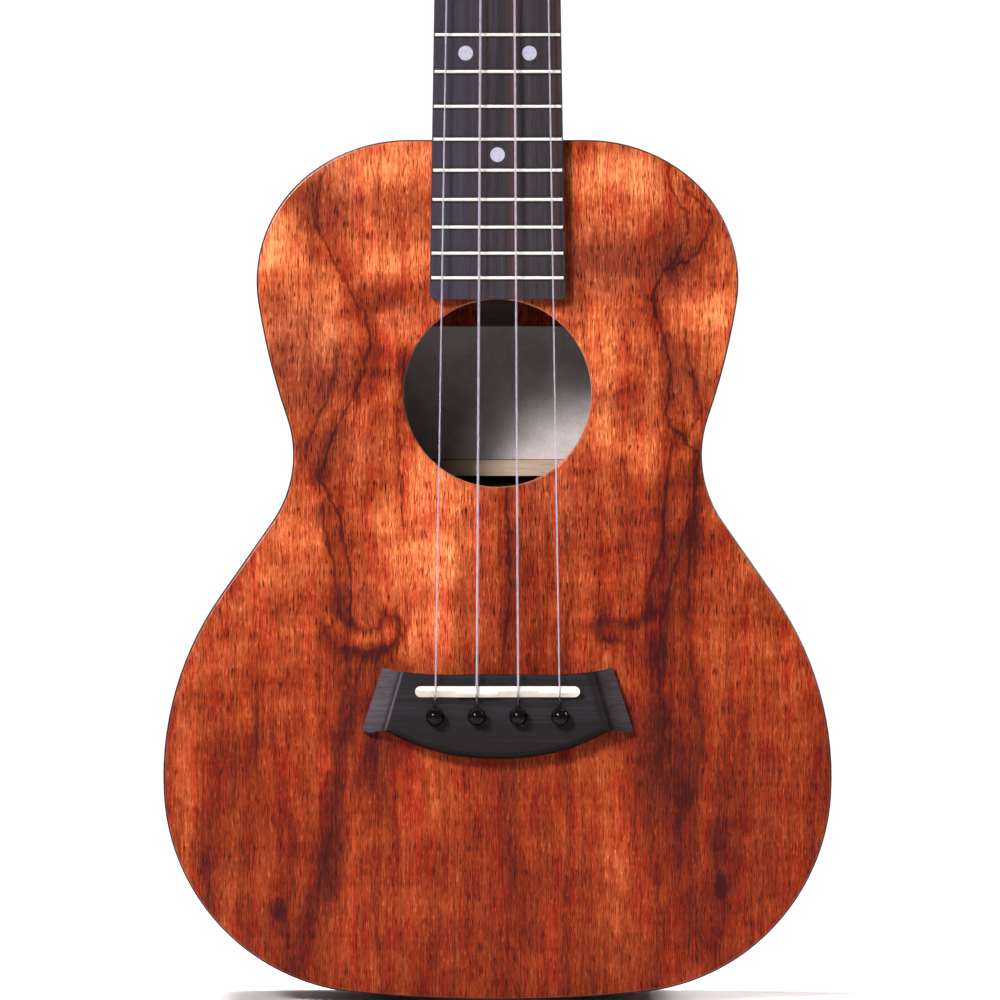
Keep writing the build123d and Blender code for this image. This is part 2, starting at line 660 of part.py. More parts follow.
def plate_screw():
    """Small round-head screw into the back of the headstock."""
    dome = Pos(0, 0, PLATE_LOW + 0.6) * Sphere(2.4)
    dome = dome & disc(0, 0, PLATE_LOW - 4, PLATE_LOW, 4)
    slot = block(-4, 4, -0.3, 0.3, PLATE_LOW - 4, PLATE_LOW - 1.1)
    return dome + disc(0, 0, PLATE_LOW, BACK_FACE + 8, 1.0) - slot


def bushing_piece():
    """Flanged bushing in the face of the headstock."""
    flange = disc(0, 0, VENEER_THICK, VENEER_THICK + 1.0, 5.2)
    return flange + disc(0, 0, -7, VENEER_THICK, 3.8) - disc(0, 0, -8, 9, POST_RADIUS + RUN_CLEARANCE)


def make_tuners():
    """All four tuning machines."""
    at_worm = Pos(0, WORM_Y, GEAR_MID)
    moving = {
        "worm_shaft": at_worm * (worm_piece() + shaft_piece()),
        "button": at_worm * button_piece(),
        "post": post_piece(),
        "gear": gear_blank(),
        "gear_screw": gear_screw_piece(),
    }
    fixed = {"tuner_plates": plate_piece(), "tuner_bushings": bushing_piece()}
    made = {}
    for name in STRINGS:
        x, y = POST_PLACES[name]
        for piece, shape in moving.items():
            sided = shape if x > 0 else flip(shape)
            made[piece + "_" + name] = HEAD * Pos(x, y, 0) * sided
    for piece, shape in fixed.items():
        placed = [HEAD * Pos(x, y, 0) * (shape if x > 0 else flip(shape)) for x, y in POST_PLACES.values()]
        made[piece] = Compound(children=placed)
    screws = [HEAD * Pos(x, y, 0) * plate_screw() for x, y in screw_places()]
    made["plate_screws"] = Compound(children=screws)
    return made


def stand_up(shape):
    """From the bench frame to the exported frame."""
    x, y, z = HANGER_POINT
    return Plane.XZ * Pos(-x, -y, -z) * shape


def make_all():
    """Every node in the bench frame."""
    made = {}
    made.update(make_body())
    made.update(make_neck())
    made.update(make_fingerboard())
    made.update(make_bridge())
    made.update(make_tuners())
    return made


if __name__ == "__main__":
    os.makedirs("parts", exist_ok=True)
    for node, solid in make_all().items():
        upright = stand_up(solid)
        export_step(upright, "parts/" + node + ".step")
        print(node, round(solid.volume, 1), len(upright.solids()), upright.is_valid)
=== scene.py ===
from collections import namedtuple
from math import pi, radians

import bpy
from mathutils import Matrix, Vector


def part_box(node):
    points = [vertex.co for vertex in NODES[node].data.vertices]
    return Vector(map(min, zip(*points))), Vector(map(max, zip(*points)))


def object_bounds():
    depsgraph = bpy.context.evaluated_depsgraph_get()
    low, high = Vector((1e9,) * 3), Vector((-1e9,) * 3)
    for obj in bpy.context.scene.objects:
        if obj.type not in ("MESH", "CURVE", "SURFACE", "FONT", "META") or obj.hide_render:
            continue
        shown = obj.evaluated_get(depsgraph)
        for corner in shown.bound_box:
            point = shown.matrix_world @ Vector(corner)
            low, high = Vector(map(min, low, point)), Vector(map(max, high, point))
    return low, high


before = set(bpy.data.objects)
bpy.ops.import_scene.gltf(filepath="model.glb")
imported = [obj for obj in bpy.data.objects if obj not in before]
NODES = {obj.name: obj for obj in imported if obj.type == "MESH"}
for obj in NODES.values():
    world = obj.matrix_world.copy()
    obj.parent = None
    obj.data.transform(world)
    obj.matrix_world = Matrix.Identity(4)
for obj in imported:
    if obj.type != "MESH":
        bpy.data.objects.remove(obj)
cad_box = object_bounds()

STRINGS = ("g", "c", "e", "a")

# Materials work in millimetres: y as in the frame, and z from the middle of the saddle.
# The front faces down the y axis, so a piece's lowest y is its top.
MM = 1000.0
SADDLE_MM = sum(corner[2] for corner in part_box("saddle")) / 2 * MM
FACE_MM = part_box("soundboard_left")[0][1] * MM
FRET_TOP_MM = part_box("frets")[0][1] * MM
BRIDGE_TOP_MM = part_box("bridge")[0][1] * MM

# Middle of the soundhole above the saddle, and its radius
HOLE_MM = 104.0
HOLE_RADIUS_MM = 32.75

# The picture: metres across it, the point in its middle, and the camera's distance and sensor
PICTURE_WIDTH = 0.34755
PICTURE_MIDDLE = (0.00087, -0.017, -0.3741)
CAMERA_DISTANCE = 3.0
SENSOR_WIDTH = 36.0

# Display colours from dark to light, each with its place on the ramp
KOA = (
    (0.00, (58, 20, 17)),
    (0.16, (87, 30, 20)),
    (0.34, (118, 42, 18)),
    (0.52, (149, 62, 29)),
    (0.68, (180, 86, 46)),
    (0.84, (214, 114, 66)),
    (1.00, (250, 158, 100)),
)
RED_KOA = (
    (0.00, (58, 14, 16)),
    (0.16, (87, 22, 19)),
    (0.34, (119, 29, 15)),
    (0.52, (151, 46, 24)),
    (0.68, (183, 68, 39)),
    (0.84, (214, 94, 58)),
    (1.00, (247, 134, 86)),
)
DULL_KOA = ((0.0, (54, 18, 14)), (0.5, (148, 70, 46)), (1.0, (232, 152, 112)))
MAHOGANY = ((0.0, (52, 22, 14)), (0.4, (98, 46, 28)), (0.7, (132, 68, 40)), (1.0, (160, 92, 58)))
PALE_WOOD = ((0.0, (142, 98, 62)), (0.4, (190, 146, 100)), (0.7, (214, 174, 128)), (1.0, (232, 200, 158)))
GREY_WOOD = ((0.0, (120, 98, 82)), (0.4, (168, 144, 124)), (0.7, (192, 168, 148)), (1.0, (212, 190, 172)))
# The back's seam strip in dark brown: painted shade, for how dark it looks deep inside the body
SHADED_STRIP_WOOD = ((0.0, (44, 26, 18)), (0.4, (78, 50, 34)), (0.7, (104, 70, 48)), (1.0, (128, 92, 66)))
DARK_WOOD = ((0.0, (20, 14, 13)), (0.4, (40, 30, 28)), (0.7, (58, 44, 40)), (1.0, (78, 60, 52)))
EBONY = ((0.0, (14, 11, 12)), (0.4, (40, 35, 39)), (0.7, (56, 50, 55)), (1.0, (82, 74, 80)))
PAPER = ((0.2, (160, 150, 150)), (0.5, (200, 190, 191)), (0.8, (228, 220, 220)))

# Share of the painted shade on the soundboard's rounded outer edge, and of the painted highlight on the
# wall of the soundhole
EDGE_SHARE = 0.9

# Brown streaks along the fingerboard: distance from the centre line, half width, share
BOARD_STREAKS = ((5.4, 1.8, 0.45), (-9.0, 1.2, 0.15), (20.5, 2.4, 0.2), (-3.5, 1.6, 0.15))

# Figure of a soundboard half, in millimetres from the centre line and the saddle line.
# lines and knots: points, width, darkness. blobs and dull: centre, radii, strength.
Figure = namedtuple("Figure", "lines knots blobs dull")
LEFT = Figure(
    lines=(
        (((-60, 185), (-63, 166), (-58, 150), (-49, 134)), 7.0, 0.20),
        (((-46, 133), (-43, 121), (-51, 102), (-58, 88), (-62, 74)), 3.6, 0.26),
        (((-56, 120), (-60, 104), (-65, 92), (-68, 80)), 3.0, 0.16),
        (((-62, 74), (-54, 60), (-51, 42), (-53, 26)), 5.0, 0.30),
        (((-61, 64), (-57, 46), (-57, 30)), 2.6, 0.28),
        (((-47, 14), (-51, -3), (-56, -27), (-60, -55), (-65, -72), (-70, -100)), 4.4, 0.26),
        (((-42, 14), (-44, -23), (-53, -48), (-58, -72)), 2.6, 0.16),
        (((-33, 120), (-36, 95), (-33, 60)), 2.2, 0.10),
        (((-20, -30), (-22, -100)), 2.4, 0.10),
        (((-82, 16), (-84, -8), (-88, -28)), 4.0, 0.14),
        (((-96, -20), (-98, -60)), 5.0, 0.10),
    ),
    knots=(
        (((-60, 20), (-57, 15.4), (-47, 13.8), (-38, 14.4)), 3.6, 0.34),
        (((-38, 15), (-34.2, 19), (-34.2, 24), (-38, 28)), 2.2, 0.38),
        (((-55, 26), (-48, 21), (-41, 22), (-39, 27)), 1.7, 0.26),
        (((-60, 21), (-61, 25)), 1.6, 0.20),
        (((-76, -75), (-76.6, -78)), 3.0, 0.42),
        (((-106, -2), (-109, -6)), 4.0, 0.20),
    ),
    blobs=(
        ((-40, 186), (34, 12), 0.26),
        ((-76, 156), (14, 14), 0.27),
        ((-33, 152), (30, 10), 0.20),
        ((-62, 137), (14, 7), 0.20),
        ((-29, 128), (12, 12), 0.16),
        ((-28, 45), (13, 48), 0.26),
        ((-66, 55), (12, 20), 0.12),
        ((-98, 20), (14, 30), 0.12),
        ((-108, -30), (10, 30), 0.10),
        ((-22, -38), (14, 16), 0.10),
        ((-61, 171), (12, 14), -0.12),
        ((-44, 138), (14, 5), -0.14),
        ((-45, 112), (16, 12), -0.12),
        ((-68, 114), (16, 20), -0.10),
        ((-60, 84), (11, 9), -0.18),
        ((-45, -25), (14, 28), -0.10),
        ((-60, -62), (9, 26), -0.08),
        ((-48, 18), (9, 3.4), 0.16),
        ((-51, 0), (5, 22), -0.10),
        ((-61, -24), (3, 4), 0.17),
        ((-88, -6), (3, 8), 0.14),
        ((-62, -32), (3, 4), 0.12),
        ((-42, -52), (5, 6), 0.10),
        ((-36, -31), (4, 4), 0.10),
    ),
    dull=(
        ((-68, 116), (20, 22), 0.75),
        ((-60, 172), (14, 15), 0.6),
        ((-60, 86), (14, 10), 0.5),
    ),
)
RIGHT = Figure(
    lines=(
        (((60, 184), (61, 178), (66, 167), (66, 159), (61, 150), (55, 142), (53, 136)), 4.4, 0.17),
        (((66, 178), (75, 166), (74, 162), (67, 152), (60, 146)), 3.4, 0.14),
        (((53, 136), (54, 131), (57, 122), (61, 114), (60, 103), (59, 95), (63, 89), (70, 82)), 2.8, 0.22),
        (((66, 122), (69, 112), (70, 100), (66, 90)), 3.0, 0.10),
        (((71, 80), (67, 60), (60, 42), (57, 26), (57, 15)), 5.0, 0.26),
        (((60, 88), (59, 67), (55, 46), (53, 29)), 3.4, 0.20),
        (((69, 64), (66, 40), (67, 18)), 3.0, 0.20),
        (((56, 15), (58, -10), (63, -37), (67, -65), (69, -92)), 5.4, 0.26),
        (((67, 14), (71, -16), (67, -38)), 3.4, 0.20),
        (((2, 75), (4, 40), (3, 12)), 5.0, 0.22),
        (((3, -26), (4, -58), (11, -92)), 4.0, 0.20),
        (((24, 60), (25, 10)), 2.4, 0.08),
    ),
    knots=(
        (((37, 29), (35.6, 23), (37.6, 18)), 3.4, 0.40),
        (((38, 24.5), (46, 23), (54, 27)), 2.6, 0.34),
        (((38, 18), (43, 17.6)), 1.8, 0.20),
        (((78, -66), (78.6, -69)), 3.0, 0.42),
    ),
    blobs=(
        ((42, 176), (30, 13), 0.22),
        ((72, 132), (12, 12), 0.20),
        ((34, 118), (14, 17), 0.20),
        ((81, 134), (8, 18), 0.15),
        ((42, 90), (22, 12), 0.14),
        ((34, 10), (9, 20), 0.14),
        ((34, -30), (12, 40), 0.12),
        ((98, -4), (14, 34), 0.06),
        ((44, -70), (10, 30), 0.08),
        ((42, 150), (28, 12), -0.17),
        ((58, 150), (14, 14), -0.05),
        ((44, 150), (4, 3), 0.14),
        ((64, 111), (10, 12), -0.17),
        ((50, 134), (10, 6), -0.10),
        ((18, 36), (16, 42), -0.10),
        ((46, 56), (14, 22), -0.12),
        ((67, 52), (14, 34), -0.15),
        ((56, -20), (14, 30), -0.10),
        ((84, -48), (14, 40), -0.08),
    ),
    dull=(
        ((42, 150), (28, 13), 0.7),
        ((60, 150), (14, 14), 0.6),
        ((20, 62), (16, 14), 0.4),
        ((34, 104), (14, 8), 0.4),
        ((64, 111), (10, 12), 0.5),
    ),
)


def linear(colour):
    """An 8-bit display colour as linear values."""
    made = []
    for part in colour:
        part = part / 255
        made.append(part / 12.92 if part <= 0.04045 else ((part + 0.055) / 1.055) ** 2.4)
    return (*made, 1.0)


class Field:
    """A node socket that can be written with arithmetic."""

    def __init__(self, tree, socket):
        self.tree = tree
        self.socket = socket

    def math(self, operation, *others):
        """A Math node on this socket and fields or numbers."""
        node = self.tree.nodes.new("ShaderNodeMath")
        node.operation = operation
        for slot, value in enumerate((self, *others)):
            if isinstance(value, Field):
                self.tree.links.new(value.socket, node.inputs[slot])
            else:
                node.inputs[slot].default_value = value
        return Field(self.tree, node.outputs[0])

    def __add__(self, other):
        return self.math("ADD", other)

    def __sub__(self, other):
        return self.math("SUBTRACT", other)

    def __mul__(self, other):
        return self.math("MULTIPLY", other)

    def __neg__(self):
        return self.math("MULTIPLY", -1.0)

    def size(self):
        """The value without its sign."""
        return self.math("ABSOLUTE")

    def lower(self, other):
        """The lower of two values."""
        return self.math("MINIMUM", other)

    def higher(self, other):
        """The higher of two values."""
        return self.math("MAXIMUM", other)

    def fade(self, low, high, start=0.0, end=1.0):
        """Smooth step from start at low to end at high."""
        node = self.tree.nodes.new("ShaderNodeMapRange")
        node.interpolation_type = "SMOOTHSTEP"
        self.tree.links.new(self.socket, node.inputs["Value"])
        for name, value in (("From Min", low), ("From Max", high), ("To Min", start), ("To Max", end)):
            node.inputs[name].default_value = value
        return Field(self.tree, node.outputs["Result"])


class Paint:
    """One material, with its coordinates on the object in millimetres, z from the saddle."""

    def __init__(self, name, **constants):
        self.material = bpy.data.materials.new(name)
        self.material.use_nodes = True
        self.tree = self.material.node_tree
        self.tree.nodes.clear()
        out = self.tree.nodes.new("ShaderNodeOutputMaterial")
        self.shader = self.tree.nodes.new("ShaderNodeBsdfPrincipled")
        self.tree.links.new(self.shader.outputs[0], out.inputs[0])
        for key, value in constants.items():
            self.shader.inputs[key.replace("_", " ")].default_value = value
        place = self.tree.nodes.new("ShaderNodeTexCoord").outputs["Object"]
        split = self.tree.nodes.new("ShaderNodeSeparateXYZ")
        self.tree.links.new(place, split.inputs[0])
        self.x = Field(self.tree, split.outputs[0]) * MM
        self.y = Field(self.tree, split.outputs[1]) * MM
        self.z = Field(self.tree, split.outputs[2]) * MM - SADDLE_MM

    def vector(self, x, y, z):
        """A vector of fields or numbers."""
        node = self.tree.nodes.new("ShaderNodeCombineXYZ")
        for slot, value in enumerate((x, y, z)):
            if isinstance(value, Field):
                self.tree.links.new(value.socket, node.inputs[slot])
            else:
                node.inputs[slot].default_value = value
        return Field(self.tree, node.outputs[0])

    def aim(self, operation, first, second):
        """Vector maths on a vector field and a constant, another field or nothing."""
        node = self.tree.nodes.new("ShaderNodeVectorMath")
        node.operation = operation
        self.tree.links.new(first.socket, node.inputs[0])
        if isinstance(second, Field):
            self.tree.links.new(second.socket, node.inputs[1])
        elif second is not None:
            node.inputs[1].default_value = second
        scalar = operation in ("DOT_PRODUCT", "LENGTH")
        return Field(self.tree, node.outputs["Value" if scalar else "Vector"])

    def noise(self, x, y, z, detail, rough):
        """Smooth noise around one half."""
        node = self.tree.nodes.new("ShaderNodeTexNoise")
        node.inputs["Scale"].default_value = 1.0
        node.inputs["Detail"].default_value = detail
        node.inputs["Roughness"].default_value = rough
        self.tree.links.new(self.vector(x, y, z).socket, node.inputs["Vector"])
        return Field(self.tree, node.outputs["Fac"])

    def mottle(self, scale, detail, rough):
        """Noise of one scale along every axis."""
        return self.noise(self.x * scale, self.y * scale, self.z * scale, detail, rough)

    def ramp(self, value, stops):
        """The colour at a value, from the stops of a palette."""
        node = self.tree.nodes.new("ShaderNodeValToRGB")
        self.tree.links.new(value.socket, node.inputs[0])
        band = node.color_ramp
        while len(band.elements) < len(stops):
            band.elements.new(0.5)
        for element, (position, colour) in zip(band.elements, stops):
            element.position = position
            element.color = linear(colour)
        return Field(self.tree, node.outputs[0])

    def blend(self, first, second, share):
        """The first colour with a share of the second over it."""
        node = self.tree.nodes.new("ShaderNodeMix")
        node.data_type = "RGBA"
        self.tree.links.new(share.socket, node.inputs["Factor"])
        for slot, colour in ((6, first), (7, second)):
            if isinstance(colour, Field):
                self.tree.links.new(colour.socket, node.inputs[slot])
            else:
                node.inputs[slot].default_value = linear(colour)
        return Field(self.tree, node.outputs[2])

    def gap(self, spot, points):
        """Distance from a line through the points."""
        nearest = None
        for (u0, v0), (u1, v1) in zip(points, points[1:]):
            run = Vector((u1 - u0, v1 - v0, 0))
            offset = self.aim("SUBTRACT", spot, (u0, v0, 0))
            along = self.aim("DOT_PRODUCT", offset, run / run.length_squared).higher(0.0).lower(1.0)
            foot = self.aim("MULTIPLY", self.vector(along, along, 0.0), run)
            away = self.aim("LENGTH", self.aim("SUBTRACT", offset, foot), None)
            nearest = away if nearest is None else nearest.lower(away)
        return nearest

    def blob(self, spot, centre, radii):
        """One inside an upright oval, fading to nothing around its edge."""
        offset = self.aim("SUBTRACT", spot, (*centre, 0))
        scaled = self.aim("MULTIPLY", offset, (1 / radii[0], 1 / radii[1], 0))
        return self.aim("LENGTH", scaled, None).fade(1.35, 0.25)

    def colour(self, value):
        """Base colour from a colour field."""
        self.tree.links.new(value.socket, self.shader.inputs["Base Color"])

    def roughness(self, value):
        """Roughness from a field."""
        self.tree.links.new(value.socket, self.shader.inputs["Roughness"])

    def polish(self, share, rough):
        """Clear coat over a share of the surface."""
        self.tree.links.new(share.socket, self.shader.inputs["Coat Weight"])
        self.shader.inputs["Coat Roughness"].default_value = rough

    def bump(self, height, depth):
        """Relief whose full height is a depth in metres."""
        node = self.tree.nodes.new("ShaderNodeBump")
        node.inputs["Distance"].default_value = depth
        node.inputs["Strength"].default_value = 1.0
        self.tree.links.new(height.socket, node.inputs["Height"])
        self.tree.links.new(node.outputs[0], self.shader.inputs["Normal"])


def below_face(paint, near, far):
    """Smooth step between two depths under the soundboard's face, in millimetres."""
    return paint.y.fade(FACE_MM + near, FACE_MM + far)


def draw_figure(paint, tone, figure, spot, near, ragged, upper):
    """The tone with the listed patches, dark lines with a crisp core, and knots."""
    for centre, radii, lift in figure.blobs:
        tone = tone + paint.blob(spot, centre, radii) * lift
    for points, width, dark in figure.lines:
        gap = paint.gap(spot, points)
        tone = tone - gap.fade(width * 1.6, width * 0.1) * ragged * (dark * 0.72)
        tone = tone - gap.fade(0.85, 0.15) * (ragged * 0.4 + 0.4) * (upper * 0.26 + dark * 0.3)
    for points, width, dark in figure.knots:
        gap = paint.gap(near, points)
        tone = tone - gap.fade(width * 1.4, width * 0.2) * (dark * 0.65)
        tone = tone - gap.fade(0.8, 0.1) * (dark * 0.3)
    return tone


def koa(name, across, along, seed, base, figure=None):
    """Figured koa: bands of curl across the grain, dark lines along it, and short dark pores."""
    paint = Paint(name, Specular_IOR_Level=0.07)
    u, v = across(paint), along(paint)
    upper = v.fade(-40.0, 60.0)

    # Slow and quick wander of the grain
    deep = paint.y * 0.03 + seed
    slow = paint.noise(u * 0.045, v * 0.03, deep, 3.0, 0.6) - 0.5
    quick = paint.noise(u * 0.22, v * 0.12, deep + 4.0, 2.0, 0.6) - 0.5
    fibre = paint.noise(u * 0.75 + quick, v * 0.012, deep + 15.0, 4.0, 0.7) - 0.5
    bend = paint.noise(u * 0.06, v * 0.06, deep + 9.0, 4.0, 0.65) - 0.5
    bent_u = u + slow * 8.0 + quick * 3.0
    bent_v = v + bend * 16.0 + fibre * 5.0
    spot = paint.vector(bent_u, bent_v, 0.0)

    # Curl across the grain, streaks and clouds, and fibres from fine to finest
    curl = paint.noise(bent_u * 0.028, bent_v * 0.085, deep + 2.0, 3.0, 0.55) - 0.5
    broad = paint.noise(u * 0.13 + slow * 2.0, v * 0.006, deep + 7.0, 3.0, 0.6) - 0.5
    cloud = paint.noise(u * 0.11, v * 0.09, deep + 17.0, 4.0, 0.65) - 0.5
    fine = paint.noise(u * 0.9 + quick, v * 0.03, deep + 3.0, 3.0, 0.65) - 0.5
    hair_u = u * 2.6 + quick * 2.0
    hair = paint.noise(hair_u, v * 0.10, deep + 5.0, 3.0, 0.65) - 0.5
    grit = paint.noise(u * 2.2 + quick * 2.0, v * 0.5, deep + 19.0, 2.0, 0.6) - 0.5
    tone = curl * (upper * 0.34 + 0.20) + broad * (upper * -0.20 + 0.74)
    tone = tone + cloud * (upper * 0.14 + 0.32) + fine * 0.46 + hair * 0.60 + grit * 0.26
    # Painted light: the wood is lifted lighter towards the neck end, by up to 0.21 of the tone
    tone = tone + upper * 0.21 + (base - 0.15)
    if figure:
        near = paint.vector(u + quick * 4.0, v + quick * 3.0 + fibre * 5.0, 0.0)
        ragged = (fibre * 3.0 + hair * 1.6 + 0.9).higher(0.15).lower(1.6)
        tone = draw_figure(paint, tone, figure, spot, near, ragged, upper)

    # Pores, open and filled
    pores = paint.noise(u * 3.0 + quick * 2.0, v * 0.23, deep + 6.0, 1.0, 0.5)
    pore = pores.fade(0.57, 0.68)
    fleck = paint.noise(hair_u, v * 0.4, deep + 8.0, 1.0, 0.5).fade(0.58, 0.72)
    tone = tone - pore * (upper * 0.20 + 0.27) + fleck * 0.17
    if figure:
        wall = paint.aim("LENGTH", paint.vector(u, v - HOLE_MM, 0.0), None)
        wall = wall.fade(HOLE_RADIUS_MM + 0.75, HOLE_RADIUS_MM + 0.25)
        outside = -wall + 1.0
        # Painted shade on the soundboard's rounded outer edge, away from the soundhole
        tone = tone - below_face(paint, 0.08, 0.32) * outside * EDGE_SHARE

    # Golden and red parts, and dull patches
    golden = paint.noise(u * 0.42 + slow * 3.0, v * 0.014, deep + 23.0, 4.0, 0.65) + cloud * 0.6
    colour = paint.blend(paint.ramp(tone, RED_KOA), paint.ramp(tone, KOA), golden.fade(0.30, 0.60))
    grey = paint.noise(u * 0.05, v * 0.04, deep + 12.0, 3.0, 0.6).fade(0.52, 0.72) * 0.15
    for centre, radii, share in figure.dull if figure else ():
        grey = grey.higher(paint.blob(spot, centre, radii) * share * 0.6)
    colour = paint.blend(colour, paint.ramp(tone, DULL_KOA), grey)
    if figure:
        # Painted highlight on the wall of the soundhole
        colour = paint.blend(colour, (228, 166, 138), wall * below_face(paint, 0.1, 0.7) * EDGE_SHARE)
        shoulder = below_face(paint, 0.01, 0.05) * below_face(paint, 0.32, 0.18)
        paint.polish(shoulder * outside, 0.32)
    paint.colour(colour)
    paint.roughness(hair * 0.12 + pore * 0.15 + 0.38)
    paint.bump(hair * 0.30 + fine * 0.25 - pore * 0.6, 0.00006)
    return paint.material


def plain_wood(name, stops, axis="z", rough=0.7, **constants):
    """Straight-grained wood whose grain runs along an axis."""
    paint = Paint(name, Roughness=rough, **constants)
    axes = {"x": paint.x, "y": paint.y, "z": paint.z}
    run = axes.pop(axis)
    first, second = axes.values()
    wide = paint.noise(first * 0.16, second * 0.16, run * 0.008, 3.0, 0.6)
    fine = paint.noise(first * 1.3, second * 1.3, run * 0.03, 3.0, 0.65)
    pore = paint.noise(first * 3.0, second * 3.0, run * 0.2, 1.0, 0.5).fade(0.6, 0.7)
    paint.colour(paint.ramp(wide * 0.9 + fine * 0.7 - 0.3 - pore * 0.2, stops))
    paint.bump(fine * 0.4 - pore * 0.6, 0.00005)
    return paint.material


def smooth_stuff(name, first, second, scale, rough=0.3, spread=0.1, **constants):
    """Even material with slight mottling."""
    paint = Paint(name, **constants)
    cloud = paint.mottle(scale, 3.0, 0.6)
    grit = paint.mottle(scale * 9.0, 2.0, 0.6)
    paint.colour(paint.blend(first, second, cloud.fade(0.3, 0.7)))
    paint.roughness(grit * spread + cloud * spread + (rough - spread))
    paint.bump(grit, 0.00001)
    return paint.material


class Ebony(Paint):
    """Near-black wood, with the fields that its board and bridge build on."""

    def __init__(self, name, run, side, lift, grain, level):
        super().__init__(name, Specular_IOR_Level=0.12)
        run, side = run(self), side(self)
        bend = (self.noise(side * 0.05, run * 0.012, self.y * 0.05, 2.0, 0.5) - 0.5) * 3.0
        self.across = side + bend
        wide = self.noise(self.across * 0.34, run * 0.008, self.y * 0.1, 3.0, 0.6)
        self.fine = self.noise(self.across * 2.4, run * 0.035, self.y * 0.3, 3.0, 0.65)
        self.pore = self.noise(side * 3.6, run * 0.16, self.y, 1.0, 0.5).fade(0.58, 0.68)
        tone = wide * 0.75 + self.fine * grain - level - self.pore * 0.12
        stops = [(place, [part * lift for part in colour]) for place, colour in EBONY]
        self.base = self.ramp(tone, stops)

    def finish(self, colour):
        """The material, once its colour is made."""
        self.colour(colour)
        self.roughness(self.fine * 0.2 + self.pore * 0.1 + 0.36)
        self.bump(self.fine * 0.5 - self.pore * 0.8, 0.00006)
        return self.material


def board_wood():
    """Fingerboard: bluish towards the bass side, with brown streaks."""
    paint = Ebony("board_wood", lambda p: p.z, lambda p: p.x, lift=1.14, grain=0.40, level=0.07)
    colour = paint.blend(paint.base, (66, 62, 84), paint.x.fade(8.0, -22.0) * 0.3)
    for centre, width, share in BOARD_STREAKS:
        band = (paint.across - centre).size().fade(width, width * 0.2) * (paint.fine + 0.4) * share
        colour = paint.blend(colour, (96, 56, 48), band)
    return paint.finish(colour)


def bridge_wood():
    """Bridge: scuffed paler on its wings, with a painted highlight on the left wing and its ridge, painted
    shade in the right step, towards the bottom and on the rounded lower edge.
    """
    paint = Ebony("bridge_wood", lambda p: p.x, lambda p: p.z, lift=0.78, grain=0.85, level=0.30)
    ridge = paint.z * -0.291 + 35.2
    left = -paint.x - ridge
    right = paint.x - ridge
    # Painted highlight on the left wing, where it faces the light, over its scuffs, and a painted highlight
    # line along its ridge
    colour = paint.blend(paint.base, (92, 84, 92), left.fade(0.0, 2.2) * (paint.fine * 0.9 + 0.05))
    colour = paint.blend(colour, (112, 106, 112), left.size().fade(0.7, 0.1) * 0.5)
    colour = paint.blend(colour, (80, 70, 74), right.fade(0.0, 3.0) * paint.fine)
    # Painted shade in the step beside the right ridge
    colour = paint.blend(colour, (22, 18, 20), right.fade(-3.4, -1.6) * right.fade(0.4, -0.8) * 0.8)
    # Painted shade: darker towards the bottom, and darkest on the rounded lower edge of the middle block
    colour = paint.blend(colour, (26, 18, 19), paint.z.fade(-6.0, -20.0) * 0.65)
    round_over_shade = paint.y.fade(BRIDGE_TOP_MM + 0.01, BRIDGE_TOP_MM + 0.16)
    round_over_shade = round_over_shade * paint.z.fade(-11.0, -14.0) * paint.x.size().fade(40.0, 34.0)
    return paint.finish(paint.blend(colour, (9, 6, 6), round_over_shade * 0.85))


def metal(name, colour, worn, rough):
    """Polished metal with faint scratches."""
    paint = Paint(name, Metallic=1.0)
    scratch = paint.noise(paint.x * 6.0, paint.y * 6.0, paint.z * 0.9, 2.0, 0.6)
    cloud = paint.mottle(0.3, 3.0, 0.6)
    paint.colour(paint.blend(colour, worn, cloud.fade(0.45, 0.75)))
    paint.roughness(scratch * 0.14 + cloud * 0.1 + rough)
    paint.bump(scratch, 0.000004)
    return paint.material


def fret_metal():
    """Fret wire with a painted highlight along its crest and painted shade on its flanks."""
    paint = Paint("fret_metal", Metallic=0.6)
    scratch = paint.noise(paint.x * 0.6, paint.y * 6.0, paint.z * 6.0, 2.0, 0.6)
    # Painted highlight along the crest, painted shade on the flanks
    crest = paint.y.fade(FRET_TOP_MM + 0.22, FRET_TOP_MM + 0.05) * (scratch * 0.3 + 0.85)
    paint.colour(paint.blend((70, 66, 62), (255, 253, 246), crest.lower(1.0)))
    paint.roughness(scratch * 0.14 + 0.3)
    paint.bump(scratch, 0.000004)
    return paint.material


def string_material():
    """Clear string, with painted shade where it runs down behind the saddle."""
    paint = Paint("string_clear", Alpha=0.48)
    cloud = paint.mottle(0.5, 3.0, 0.6)
    colour = paint.blend((204, 196, 212), (180, 172, 192), cloud.fade(0.3, 0.7))
    # Painted shade where the string runs down behind the saddle
    paint.colour(paint.blend(colour, (60, 52, 58), paint.z.fade(-0.6, -2.2) * 0.85))
    paint.roughness(cloud * 0.2 + 0.2)
    paint.bump(cloud, 0.00001)
    return paint.material


def paper_material():
    """Plain aged paper with fibres and a soft mottled shade."""
    paint = Paint("label_paper", Roughness=0.85)
    cloud = paint.mottle(0.08, 4.0, 0.6)
    fibre = paint.mottle(1.4, 4.0, 0.7)
    paint.colour(paint.ramp(cloud * 0.7 + fibre * 0.5 - 0.1, PAPER))
    paint.bump(fibre, 0.00003)
    return paint.material


def wear(material, *nodes):
    """Gives CAD nodes their material."""
    for node in nodes:
        shape = NODES[node]
        for slot in shape.material_slots:
            slot.material = material
        if not shape.material_slots:
            shape.data.materials.append(material)


